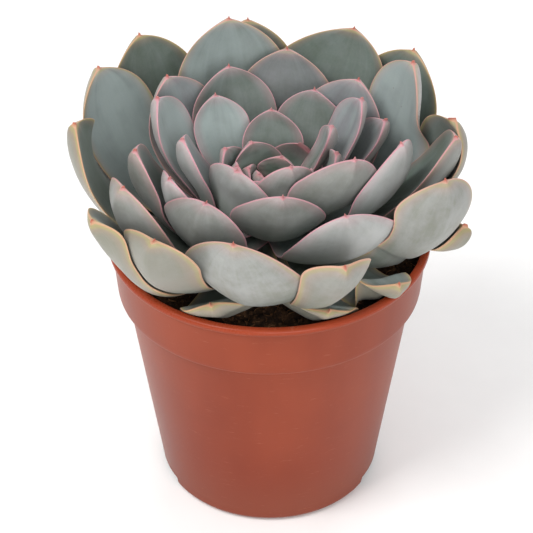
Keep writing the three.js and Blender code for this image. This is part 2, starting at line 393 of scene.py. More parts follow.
@dataclass(frozen=True)
class LeafSkin:
    """Glaucous leaf skin: a waxy bloom over green, a rosy margin and a red tip."""

    bloom: tuple = srgb(92, 111, 104)
    # Palest grey of the bloom: partly the real bloom, partly a painted highlight on faces that catch the
    # light.
    frost_and_highlight: tuple = srgb(150, 165, 163)
    lilac: tuple = srgb(116, 108, 122)
    green: tuple = srgb(44, 68, 42)
    # The young leaves' deep green, darkened further with painted shade.
    heart: tuple = srgb(66, 92, 68)
    under: tuple = srgb(112, 114, 106)
    under_old: tuple = srgb(120, 116, 96)
    under_green: tuple = srgb(98, 106, 72)
    # The same pale frost on the undersides: partly real bloom, partly painted highlight.
    under_frost_and_highlight: tuple = srgb(168, 170, 168)
    rose: tuple = srgb(202, 140, 152)
    salmon: tuple = srgb(198, 148, 118)
    lime: tuple = srgb(150, 154, 92)
    tip: tuple = srgb(168, 72, 56)
    scar: tuple = srgb(104, 74, 50)

    def made(self) -> Material:
        """Builds the finish.

        The colour starts from green at the leaf's foot and turns to the bloom's grey further out, in
        soft streaks along the leaf. The underside is paler and warmer. A thin line of rose follows the
        margin, salmon on old leaves, with a lime line beside it. Pale frost patches on the waxiest faces and
        undersides are partly real bloom and partly painted highlight. The darker heart green on the young
        leaves, and on each underside near its foot, is partly their own green and partly painted shade.

        Returns:
            The material.
        """
        g = Graph("leaf_skin")
        carried = ("along", "tip_mm", "margin_mm", "upper", "age", "wax_light_and_shade", "lilac")
        along, to_tip, margin, upper, age, wax_light_and_shade, lilac = map(g.attribute, carried)
        place = g.place()
        streaks = g.noise(g.blade((4.0, 0.9, 1.0)), 1.0, 3.0, 0.55)
        fine_streaks = g.noise(g.blade((34.0, 2.6, 1.0)), 1.0, 3.0, 0.6)
        clouds = g.noise(place, 42.0, 3.0, 0.55)
        grain = g.noise(place, 900.0, 2.0, 0.6)
        rubbed = g.noise(place, 150.0, 5.0, 0.65)

        out = (along + (clouds - 0.5) * 0.4).ramp(0.25, 0.85)
        # The wax value turns a face from green to bloom. It is partly the real bloom and partly painted light
        # and shade, set leaf by leaf.
        waxed = out * 0.42 - 0.08 + wax_light_and_shade * 0.9 + (streaks - 0.5) * 1.0 + (clouds - 0.5) * 1.2
        waxed = (waxed + (fine_streaks - 0.5) * 0.25 + (rubbed - 0.5) * 0.5).clamped()
        face = g.mix(waxed, self.green, self.bloom)
        # Painted shade: the young leaves of the heart take the darker heart green. This is partly their own
        # colour and partly the shade in the rosette's hollow.
        face = g.mix((1 - age.ramp(0.0, 0.36)) * 0.8, face, self.heart)
        face = g.mix((lilac * (0.35 + out * 0.35) + (rubbed - 0.5) * 0.3).clamped(), face, self.lilac)
        # Painted highlight: pale frost patches on the waxiest faces stand partly for the real bloom and
        # partly for the light that those faces catch.
        face_frost_and_highlight = (streaks * 0.45 + clouds * 0.55 + wax_light_and_shade * 0.25 - 0.09).ramp(0.40, 0.70) * out * wax_light_and_shade
        face = g.mix(face_frost_and_highlight.clamped(), face, self.frost_and_highlight)
        # Painted highlight: the waxiest undersides get the same pale frost, partly real bloom and partly the
        # light that they catch.
        back_frost_and_highlight = wax_light_and_shade - 0.08 + (streaks - 0.5) * 0.9 + (rubbed - 0.5) * 0.7 + (clouds - 0.5) * 0.5
        back = g.mix(back_frost_and_highlight.clamped(), self.under, self.under_frost_and_highlight)
        back = g.mix(age.ramp(0.72, 0.92) * 0.8, back, self.under_old)
        worn = ((rubbed + clouds) * 0.5 + (fine_streaks - 0.5) * 0.4).ramp(0.52, 0.30) * age.ramp(0.2, 0.9)
        back = g.mix((worn * 0.38).clamped(), back, self.under_green)
        # Painted shade: each underside darkens towards the heart green near its foot. This is partly its own
        # green and partly the shade that falls there.
        back = g.mix(out.ramp(0.95, 0.0) * 0.62, back, self.heart)
        skin = g.mix(upper, back, face)
        fine = (grain - 0.5) * 0.14 + (rubbed - 0.5) * 0.22 + (fine_streaks - 0.5) * 0.10
        skin = g.mix((0.5 + fine).clamped(), g.mix(0.22, skin, BLACK), g.mix(0.15, skin, WHITE))

        wander = (clouds - 0.5) * 0.5 + (rubbed - 0.5) * 0.5
        lime_band = (margin + wander).ramp(1.9, 0.6) * age.ramp(0.4, 0.9) * 0.6
        skin = g.mix(lime_band, skin, self.lime)
        rose = g.mix(age.ramp(0.45, 0.95), self.rose, self.salmon)
        blush = (margin + wander * 2).ramp(5.0, 0.3) * 0.20
        skin = g.mix(blush, skin, rose)
        line = (margin + wander * 0.25).ramp(0.58, 0.32) * (0.72 + (clouds - 0.5) * 0.6)
        skin = g.mix(line.clamped(), skin, rose)
        hook = (to_tip + (rubbed - 0.5) * 0.8).ramp(1.7, 0.6)
        skin = g.mix(hook * (0.25 + age.ramp(0.1, 0.6) * 0.55), skin, self.tip)
        spots = g.cells(place, 260.0).ramp(0.10, 0.04) * g.noise(place, 45.0, 1.0).ramp(0.60, 0.70)
        skin = g.mix(spots * 0.45, skin, self.scar)

        rough = 0.40 + waxed * 0.16 + (grain - 0.5) * 0.12
        relief = grain * 0.30 + fine_streaks * 0.5 + rubbed * 0.5
        links = {"Base Color": skin, "Roughness": rough, "Normal": g.bump(relief, 0.35, 0.25)}
        constants = {
            "Specular IOR Level": 0.42, "Subsurface Weight": 0.10, "Subsurface Scale": 0.004,
            "Subsurface Radius": (1.0, 0.9, 0.6), "Sheen Weight": 0.10, "Sheen Roughness": 0.5,
        }
        return g.finish(links, constants)


@dataclass(frozen=True)
class PotPlastic:
    """Terracotta coloured moulded plastic, satin, lightly scuffed and dusty at the foot. It has painted shade
    towards the foot and a separate painted highlight tone on the lip's top.
    """

    body: tuple = srgb(152, 70, 44)
    # A darker tone, used for the random clouding and for the painted shade towards the foot.
    deep_tone_and_shade: tuple = srgb(117, 47, 28)
    # A separate, more saturated orange painted on the lip's top for the highlight that it catches.
    lip_highlight_tone: tuple = srgb(147, 59, 33)
    dust: tuple = srgb(172, 122, 100)

    def made(self, foot: float, rim: float) -> Material:
        """Builds the finish.

        Args:
            foot: Height of the foot, in metres.
            rim: Height of the lip, in metres.

        Returns:
            The material.
        """
        g = Graph("pot_plastic")
        place = g.place()
        height = g.node("ShaderNodeSeparateXYZ", {}, {"Vector": place}, "Z")
        share = (height - foot) / (rim - foot)
        clouds = g.noise(place, 18.0, 3.0, 0.5)
        flow = g.noise(g.place((1.0, 1.0, 0.16)), 70.0, 3.0, 0.5)
        grain = g.noise(place, 1500.0, 2.0, 0.6)
        scuff = g.noise(g.place((1.0, 1.0, 6.0)), 160.0, 5.0, 0.7)
        colour = g.mix((0.45 + (clouds - 0.5) * 1.1 + (flow - 0.5) * 0.5).clamped(), self.deep_tone_and_shade, self.body)
        # Painted highlight: the lip's top takes its own orange, set for the light that it catches.
        colour = g.mix(share.ramp(0.975, 0.992), colour, self.lip_highlight_tone)
        # Painted shade: the wall turns deeper towards the foot, where the lower wall faces down, away from
        # the light.
        colour = g.mix(share.ramp(0.66, 0.0) * 0.85, colour, self.deep_tone_and_shade)
        worn = scuff.ramp(0.60, 0.74) * 0.30 + share.ramp(0.30, 0.02) * clouds * 0.16
        colour = g.mix(worn.clamped(), colour, self.dust)
        polish = share.ramp(0.975, 0.99) * 0.10
        rough = 0.36 + (clouds - 0.5) * 0.12 + (grain - 0.5) * 0.10 + worn * 0.5 - polish
        relief = grain * 0.25 + flow * 0.5 + scuff * 0.25
        links = {"Base Color": colour, "Roughness": rough, "Normal": g.bump(relief, 0.25, 0.22)}
        constants = {"Specular IOR Level": 0.20, "Subsurface Weight": 0.04, "Subsurface Scale": 0.003}
        return g.finish(links, constants)


@dataclass(frozen=True)
class Peat:
    """Dark crumbly peat mix, or one of the lighter bits in it."""

    name: str = "peat"
    dark: tuple = srgb(38, 26, 18)
    light: tuple = srgb(92, 64, 42)

    def made(self) -> Material:
        """Builds the finish: damp dark lumps with drier, lighter ones between.

        Returns:
            The material.
        """
        g = Graph(self.name)
        place = g.place()
        lumps = g.noise(place, 240.0, 5.0, 0.65)
        bits = g.cells(place, 420.0)
        colour = g.mix((lumps.ramp(0.42, 0.72) + (bits - 0.4) * 0.3).clamped(), self.dark, self.light)
        relief = lumps * 0.7 + bits * 0.5
        links = {"Base Color": colour, "Roughness": 0.86 + lumps * 0.14, "Normal": g.bump(relief, 0.8, 0.8)}
        return g.finish(links, {"Specular IOR Level": 0.25})


@dataclass(frozen=True)
class StemBark:
    """Pale woody stem with rings of leaf scars."""

    green: tuple = srgb(128, 134, 92)
    brown: tuple = srgb(120, 92, 62)

    def made(self) -> Material:
        """Builds the finish.

        Returns:
            The material.
        """
        g = Graph("stem_bark")
        place = g.place((1.0, 1.0, 2.4))
        bark = g.noise(place, 220.0, 5.0, 0.6)
        scars = g.cells(place, 300.0)
        colour = g.mix((bark.ramp(0.35, 0.7) * 0.8 + scars * 0.3).clamped(), self.green, self.brown)
        relief = g.bump(bark + scars, 0.6, 0.5)
        links = {"Base Color": colour, "Roughness": 0.7 + bark * 0.2, "Normal": relief}
        return g.finish(links, {"Specular IOR Level": 0.3})


# Rosette


class Growth(Enum):
    """What changes from leaf to leaf: one value for every tenth place on the spiral.

    The last value is for the low leaves, which lie outside the spiral.
    """

    BASE_LIFT = (20, 14, 8, 3, -2, -5, -6, -3)
    HALF_WIDTH = (6, 10, 15.5, 17.5, 20, 18, 15, 14)
    TIP_ANGLE = (95, 88, 84, 86, 90, 88, 70, 80)
    CUP = (2, 2.5, 3.5, 4.5, 5.5, 5.5, 4, 3)
    THICKNESS = (2.4, 3.0, 3.8, 4.4, 4.8, 4.8, 4.4, 4.0)

    def at(self, place: float) -> float:
        """The value at a place on the spiral."""
        return float(np.interp(place, np.arange(len(self.value)) * 10.0, self.value))


@dataclass(frozen=True)
class Habit:
    """How one leaf strays from the law.

    Roll and steepness are in degrees and the sway in millimetres. Wax is how much of the bloom is left on
    its face. It is set leaf by leaf also as painted light and shade: high on faces that catch the light, low
    on faces that lie in shade. Lilac is how far that bloom leans from blue towards lilac.
    """

    roll: float = 0.0
    sway: float = 0.0
    wide: float = 1.0
    steep: float = 0.0
    # Painted light and shade: set leaf by leaf, high where a face catches the light and low where it lies in
    # shade, as well as for the bloom itself.
    wax_light_and_shade: float = 0.35
    lilac: float = 0.2


# The leaves that stray, by their place on the spiral. The low leaves count on from its last place.
HABITS = {
    2: Habit(wide=1.2, wax_light_and_shade=0.05),
    5: Habit(roll=-30, wide=0.65, wax_light_and_shade=0.6, lilac=0.5),
    7: Habit(wide=1.25, wax_light_and_shade=0.1),
    10: Habit(wide=1.1, wax_light_and_shade=0.1),
    11: Habit(wide=1.1, wax_light_and_shade=0.4),
    14: Habit(wide=1.4, sway=-1, wax_light_and_shade=0.75, lilac=0.5),
    15: Habit(wide=0.9, sway=-1, wax_light_and_shade=0.12),
    16: Habit(roll=-45, wide=1.3, sway=-4, wax_light_and_shade=0.3),
    17: Habit(roll=12, wide=0.9, wax_light_and_shade=0.8, lilac=0.8),
    18: Habit(roll=-20, wide=0.72, wax_light_and_shade=0.6, lilac=0.9),
    19: Habit(wide=1.15, lilac=0.5, wax_light_and_shade=0.3),
    20: Habit(roll=-20, wide=0.7, wax_light_and_shade=0.9),
    21: Habit(roll=-32, wide=1.15, sway=-3, steep=15, wax_light_and_shade=1.0),
    22: Habit(wax_light_and_shade=0.8, lilac=0.7),
    23: Habit(wide=0.87, sway=-3, wax_light_and_shade=0.2),
    24: Habit(roll=-6, wide=1.38, sway=7, steep=14, wax_light_and_shade=1.0),
    25: Habit(roll=3, wide=0.8, wax_light_and_shade=1.0),
    26: Habit(roll=-10, wide=0.5, sway=4, wax_light_and_shade=0.5, lilac=0.6),
    27: Habit(sway=-5, steep=10),
    28: Habit(wax_light_and_shade=0.4),
    30: Habit(wide=0.85, wax_light_and_shade=0.15),
    31: Habit(wax_light_and_shade=0.4, lilac=0.8),
    33: Habit(wax_light_and_shade=0.6, lilac=0.8),
    34: Habit(roll=-16, wide=0.9, sway=4, wax_light_and_shade=0.1, lilac=0.0),
    35: Habit(sway=-3),
    36: Habit(sway=-3, wax_light_and_shade=0.1, lilac=0.55),
    39: Habit(roll=-15, wide=0.85, sway=-3, wax_light_and_shade=0.75, lilac=0.5),
    40: Habit(wide=1.1, sway=4, wax_light_and_shade=0.45),
    41: Habit(wide=1.12, wax_light_and_shade=0.6),
    42: Habit(roll=-48, wide=1.0, sway=-4, steep=8),
    44: Habit(wide=1.25, sway=8, wax_light_and_shade=0.05, lilac=0.1),
    45: Habit(wide=0.68, sway=3, steep=-20, wax_light_and_shade=0.25),
    46: Habit(roll=-8, wax_light_and_shade=1.0, lilac=0.25),
    47: Habit(roll=-5, wide=0.8, wax_light_and_shade=0.05),
    48: Habit(wide=0.88, sway=-7, steep=-8, wax_light_and_shade=0.05),
    49: Habit(wax_light_and_shade=0.05),
    50: Habit(wide=0.4, steep=-5, wax_light_and_shade=0.1),
    51: Habit(roll=-8, wax_light_and_shade=0.0, lilac=0.0),
    52: Habit(wide=1.1, sway=-4, wax_light_and_shade=0.1, lilac=0.0),
    54: Habit(wide=1.15, wax_light_and_shade=0.0, lilac=0.05),
    56: Habit(roll=10, wide=0.85, steep=-25, wax_light_and_shade=0.0),
    57: Habit(roll=34, wide=1.15, sway=4, steep=-12),
    58: Habit(roll=-24, wide=1.2, sway=-3, steep=-5),
    59: Habit(roll=-24, wide=0.8, steep=-5),
}


@dataclass
class Leaf:
    """One leaf's measures, in millimetres and degrees about the middle of the leaning rim."""

    node: str
    azimuth: float
    reach: float
    lift: float
    base: float
    half_width: float
    tip_angle: float
    cup: float
    thickness: float
    age: float
    seed: int
    habit: Habit = Habit()

    ROWS = 72
    COLUMNS = 56
    FOOT_RADIUS = 6.0
    END_LENGTH = 1.12  # from the widest place to the body's end, in half widths
    FOOT_SHARE = 0.30  # width at the foot, as a share of the widest
    HOOK_LENGTH = 1.5
    HOOK_HALF_WIDTH = 0.55
    UPPER_SHARE = 0.75  # how far each face stands off the middle sheet, in half thicknesses
    UNDER_SHARE = -1.25
    GROOVE = 0.35
    KEEL = 0.9
    RIPPLE = 0.45
    TWIST_END = 0.7  # share of the length at which a leaf has its whole roll

    def hook_length(self, length: float) -> float:
        """Length of the point at the tip: shorter on the small leaves of the heart."""
        return min(self.HOOK_LENGTH, 0.3 + 0.022 * length)

    def outline(self, along: Array, length: float) -> Array:
        """Half width as a share of the widest.

        From the foot to the widest place it rises as a power of a sine. From there to the body's end,
        about one half width further on, it falls nearly as an ellipse. A short straight taper carries on
        to the hook's point.

        Args:
            along: Share of the leaf's length.
            length: The leaf's length.

        Returns:
            The share at each place.
        """
        end = 1 - self.hook_length(length) / length
        widest = end - min(self.END_LENGTH * self.half_width / length, 0.5)
        quarter = np.pi / 2 * np.clip(along / widest, 0, 1)
        rise = self.FOOT_SHARE + (1 - self.FOOT_SHARE) * np.sin(quarter) ** 1.2
        fall = np.clip((along - widest) / (end - widest), 0, 1)
        left = np.clip((1 - along) / (1 - end), 0, 2)
        hook = self.HOOK_HALF_WIDTH / self.half_width * left * (left < 2)
        return np.maximum(rise * (1 - fall**2.0) ** 0.60, hook)

    def surface(self) -> "LeafSurface":
        """Works out the leaf's points before it is nestled among the others.

        The midline is an arc in the plane through the stem. Across it the section is a lens: its middle
        sheet rises with the square of the distance from the midline, and each face stands off from it by
        a half thickness that falls with the square of that distance, down to a thin round margin.

        Returns:
            The points and what they carry.
        """
        share = np.linspace(0, 1, self.ROWS + 2)[1:-1]
        along = (1 - (1 - share) ** 1.35)[:, None]
        around = (np.arange(self.COLUMNS) / self.COLUMNS * 2 * np.pi)[None, :]
        run, rise = self.reach - self.FOOT_RADIUS, self.lift - self.base
        tip = math.radians(self.tip_angle)
        foot = 2 * math.atan2(rise, run) - tip
        radius = math.hypot(run, rise) / (2 * math.sin((tip - foot) / 2))
        slope = foot + (tip - foot) * along
        length = radius * (tip - foot)
        r = self.FOOT_RADIUS + radius * (np.sin(slope) - math.sin(foot))
        z = self.base + radius * (math.cos(foot) - np.cos(slope))

        outline = self.outline(along, length)
        v = np.cos(around)
        s = np.sin(around)
        spots = np.stack(np.broadcast_arrays(along * 4, v * 1.6, 0 * v + 3.7), -1)
        ripple = Lattice(self.seed).at(spots, 2)
        wide = self.half_width * outline * (1 + 0.03 * ripple)
        body = np.sqrt(np.clip(outline, 0, 1))
        half = self.thickness / 2 * body * s**2 + (0.30 + 0.25 * body) * np.abs(s) ** 0.8
        flat = np.where(s > 0, self.UPPER_SHARE, self.UNDER_SHARE) * half
        groove = self.GROOVE * np.exp(-((v / 0.10) ** 2)) * np.clip(1 - along, 0, 1) * body
        keel = self.KEEL * np.exp(-((v / 0.22) ** 2)) * smooth_step(0.45, 0.85, along) * body
        flat = flat - groove * (s > 0) - keel * (s < 0)
        cupped = self.cup * outline * v**2
        up = cupped + flat + self.RIPPLE * ripple * body
        side = wide * v
        roll = np.radians(self.habit.roll) * smooth_step(0.0, self.TWIST_END, along)
        side, up = side * np.cos(roll) - up * np.sin(roll), side * np.sin(roll) + up * np.cos(roll)
        side = side + self.habit.sway * np.sin(np.pi * along)
        x = r - up * np.sin(slope)
        height = z + up * np.cos(slope)
        turn = math.radians(self.azimuth)
        points = np.stack([x * math.cos(turn) - side * math.sin(turn),
                           x * math.sin(turn) + side * math.cos(turn), height], axis=-1)
        to_tip = (1 - along) * length
        to_side = wide * (1 - np.abs(v)) + 0.35 * np.abs(s)
        margin = np.minimum(to_side, to_tip - self.hook_length(length) + 0.3)
        numbers = {
            "along": along, "tip_mm": to_tip, "margin_mm": np.maximum(margin, 0), "upper": s > 0,
            "age": self.age, "wax_light_and_shade": self.habit.wax_light_and_shade, "lilac": self.habit.lilac,
        }
        carried = {key: np.broadcast_to(value, margin.shape) for key, value in numbers.items()}
        around_share, along_share = np.broadcast_arrays((v + 1) / 2 + self.seed, along + 0.37 * self.seed)
        return LeafSurface(self, points, carried, np.stack([around_share, along_share], axis=-1))


@dataclass
class LeafSurface:
    """A leaf's grid of points: rings along it, each from one margin over the upper face and back under."""

    leaf: Leaf
    points: Array
    carried: dict
    uv: Array

    def closed(self, values: Array) -> Array:
        """The grid as one list, with the mean of the first and the last ring added as poles."""
        flat = values.reshape(-1, *values.shape[2:])
        return np.concatenate([flat, values[0].mean(0)[None], values[-1].mean(0)[None]])


@dataclass
class Nest:
    """Keeps leaves from passing through each other.

    Seen from a focus above the heart every leaf is a patch at some distance, and an older leaf always lies
    beyond a younger one. The map holds, for each direction, how far the leaves so far reach.
    """

    focus: tuple = (0.0, 0.0, 48.0)
    step: float = 1.0
    gap: float = 0.9
    rounds: int = 70
    last_rounds: int = 6
    reached: Array = field(default_factory=lambda: np.zeros((360, 180)))

    def _directions(self, points: Array) -> tuple:
        """Cell numbers round and down, unit directions, and distances of points from the focus."""
        ray = points - np.array(self.focus)
        far = np.linalg.norm(ray, axis=-1)
        turn = np.degrees(np.arctan2(ray[..., 1], ray[..., 0])) % 360
        fall = np.degrees(np.arccos(np.clip(-ray[..., 2] / far, -1, 1)))
        round_cell = (turn / self.step).astype(int) % 360
        down_cell = np.clip(fall / self.step, 0, 179).astype(int)
        return round_cell, down_cell, ray / far[..., None], far

    def settle(self, surface: LeafSurface) -> LeafSurface:
        """Pushes a leaf out until its upper face clears the younger leaves, then adds it to the map.

        The push is relaxed towards the mean of its neighbours but never under what is needed, until the
        last rounds, which only smooth it.

        Args:
            surface: The leaf.

        Returns:
            The leaf, moved.
        """
        columns = surface.leaf.COLUMNS
        half = columns // 2
        order = np.arange(1, half)
        over = surface.points[:, order]
        turn, fall, _, far = self._directions(over)
        reached = self.reached[turn, fall]
        needed = np.maximum(reached + self.gap - far, 0) * (reached > 0)
        push = needed
        for round_number in range(self.rounds):
            wide = np.pad(push, 1, mode="edge")
            mean = (wide[:-2, 1:-1] + wide[2:, 1:-1] + wide[1:-1, :-2] + wide[1:-1, 2:]) / 4
            push = np.maximum(needed, mean) if round_number < self.rounds - self.last_rounds else mean
        whole = np.zeros(surface.points.shape[:2])
        whole[:, order] = push
        whole[:, 0] = push[:, 0]
        whole[:, half] = push[:, -1]
        whole[:, half + 1:] = push[:, ::-1]
        surface.points = surface.points + self._directions(surface.points)[2] * whole[..., None]
        under = surface.points[:, half:]
        turn, fall, _, far = self._directions(under)
        np.maximum.at(self.reached, (turn.ravel(), fall.ravel()), far.ravel())
        return surface


@dataclass
class Rosette:
    """All the leaves, placed by the tips of the frame's leaf nodes and grown by the same law."""

    rim_height: float
    soil_top: float = 99.5
    lip_rise: tuple = (52.0, 57.0)
    ground_gap: float = 0.4
    spiral_places: int = 56
    fallen: tuple = (29, 32, 37, 38, 43, 53, 55)
    front_tilt: float = 3.8
    side_tilt: float = 4.1
    low_place: int = 70
    fitting_rounds: int = 6
    end_depth: float = 1.2
    even_rings: int = 12

    def lean(self) -> Array:
        """Rotation of the whole rosette: towards the front, then towards +X."""
        front = Matrix.Rotation(math.radians(self.front_tilt), 3, "X")
        side = Matrix.Rotation(math.radians(self.side_tilt), 3, "Y")
        return np.array(side @ front)

    def local(self, points: Array) -> Array:
        """Frame metres to rosette millimetres."""
        return (points / MM - np.array([0, 0, self.rim_height])) @ self.lean()

    def world(self, points: Array) -> Array:
        """Rosette millimetres to frame metres."""
        return (points @ self.lean().T + np.array([0, 0, self.rim_height])) * MM

    def far_end(self, points: Array, base: float) -> Array:
        """Mean of the points that lie furthest from a leaf's foot.

        Args:
            points: Points of the leaf, in rosette millimetres.
            base: Height of the leaf's foot.

        Returns:
            The mean point.
        """
        far = np.linalg.norm(points - np.array([0, 0, base]), axis=1)
        return points[far > far.max() - self.end_depth].mean(0)

    def fitted(self, leaf: Leaf) -> Leaf:
        """Places a leaf by its node: its tip is moved until its far end falls on the node's.

        Args:
            leaf: The leaf, with its node's name.

        Returns:
            The leaf, with its azimuth, reach and lift.
        """
        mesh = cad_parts[leaf.node].data
        points = np.empty(len(mesh.vertices) * 3)
        mesh.vertices.foreach_get("co", points)
        goal = self.far_end(self.local(points.reshape(-1, 3)), leaf.base)
        tip = goal
        for _ in range(self.fitting_rounds):
            azimuth = math.degrees(math.atan2(tip[1], tip[0]))
            reach = float(np.hypot(tip[0], tip[1]))
            leaf = replace(leaf, azimuth=azimuth, reach=reach, lift=float(tip[2]))
            tip = tip + goal - self.far_end(leaf.surface().points.reshape(-1, 3), leaf.base)
        return leaf

    def rested(self, points: Array) -> Array:
        """Raises a leaf's rings until none of their points lies in the soil or the pot's lip.

        The ground rises by a smooth step from the soil to the lip. Each ring is raised as a whole by the
        most that one of its points needs, and the raise is then evened out along the leaf.

        Args:
            points: The leaf's grid of points, in frame millimetres.

        Returns:
            The raised points.
        """
        far = np.hypot(points[..., 0], points[..., 1])
        ground = self.soil_top + (self.rim_height - self.soil_top) * smooth_step(*self.lip_rise, far)
        needed = np.maximum(ground + self.ground_gap - points[..., 2], 0) * (far < self.lip_rise[1] + 4)
        raised = needed.max(axis=1)
        window = np.hanning(2 * self.even_rings + 1)
        padded = np.pad(raised, self.even_rings, mode="edge")
        even = np.convolve(padded, window / window.sum(), mode="valid")
        return points + np.maximum(raised, even)[:, None, None] * np.array([0, 0, 1.0])

    def leaves(self) -> list:
        """Every leaf's measures, youngest first.

        Returns:
            The leaves.
        """
        nodes = sorted(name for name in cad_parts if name.startswith("leaf_"))
        places = [n for n in range(1, self.spiral_places + 1) if n not in self.fallen]
        made = []
        for number, node in enumerate(nodes):
            low = number - len(places)
            place = self.spiral_places + 1 + low if low >= 0 else places[number]
            grown = self.low_place if low >= 0 else place
            habit = HABITS.get(place, Habit())
            made.append(self.fitted(Leaf(
                node=node,
                azimuth=0.0,
                reach=1.0,
                lift=1.0,
                base=Growth.BASE_LIFT.at(grown),
                half_width=Growth.HALF_WIDTH.at(grown) * habit.wide,
                tip_angle=Growth.TIP_ANGLE.at(grown) + habit.steep,
                cup=Growth.CUP.at(grown),
                thickness=Growth.THICKNESS.at(grown),
                age=min(place / self.spiral_places, 1.0),
                seed=number + 11,
                habit=habit,
            )))
        return made

    def build(self, skin: Material) -> None:
        """Makes every leaf's piece.

        Args:
            skin: The leaves' finish.
        """
        nest = Nest()
        for leaf in self.leaves():
            surface = nest.settle(leaf.surface())
            surface.points = self.local(self.rested(self.world(surface.points) / MM) * MM)
            carried = {key: surface.closed(values) for key, values in surface.carried.items()}
            piece = Surface(
                self.world(surface.closed(surface.points)),
                tube_faces(leaf.ROWS, leaf.COLUMNS),
                carried,
                surface.closed(surface.uv),
            )
            piece.made(leaf.node + "_skin", "leaf", skin, [leaf.node])


# Pot, soil and stem


def rounded(corners: Sequence[tuple], steps: int = 7) -> Array:
    """Outline through corners, each rounded by a quadratic curve that starts its radius before the corner.

    Args:
        corners: Radius, height and rounding of each corner.
        steps: Points on each rounding.

    Returns:
        The outline's points.
    """
    spots = np.array([(r, z) for r, z, _ in corners], float)
    made = [spots[:1]]
    share = np.linspace(0, 1, steps)[:, None]
    for before, here, after, corner in zip(spots[:-2], spots[1:-1], spots[2:], corners[1:-1]):
        back, on = before - here, after - here
        start = here + back * min(corner[2] / np.linalg.norm(back), 0.49)
        end = here + on * min(corner[2] / np.linalg.norm(on), 0.49)
        made.append((1 - share) ** 2 * start + 2 * share * (1 - share) * here + share**2 * end)
    made.append(spots[-1:])
    return np.concatenate(made)


def refined(outline: Array, longest: float) -> Array:
    """The outline with points added so that no stretch is longer than a length."""
    made = [outline[:1]]
    for start, end in zip(outline[:-1], outline[1:]):
        count = max(1, math.ceil(float(np.linalg.norm(end - start)) / longest))
        made.append(start + (end - start) * (np.arange(1, count + 1) / count)[:, None])
    return np.concatenate(made)


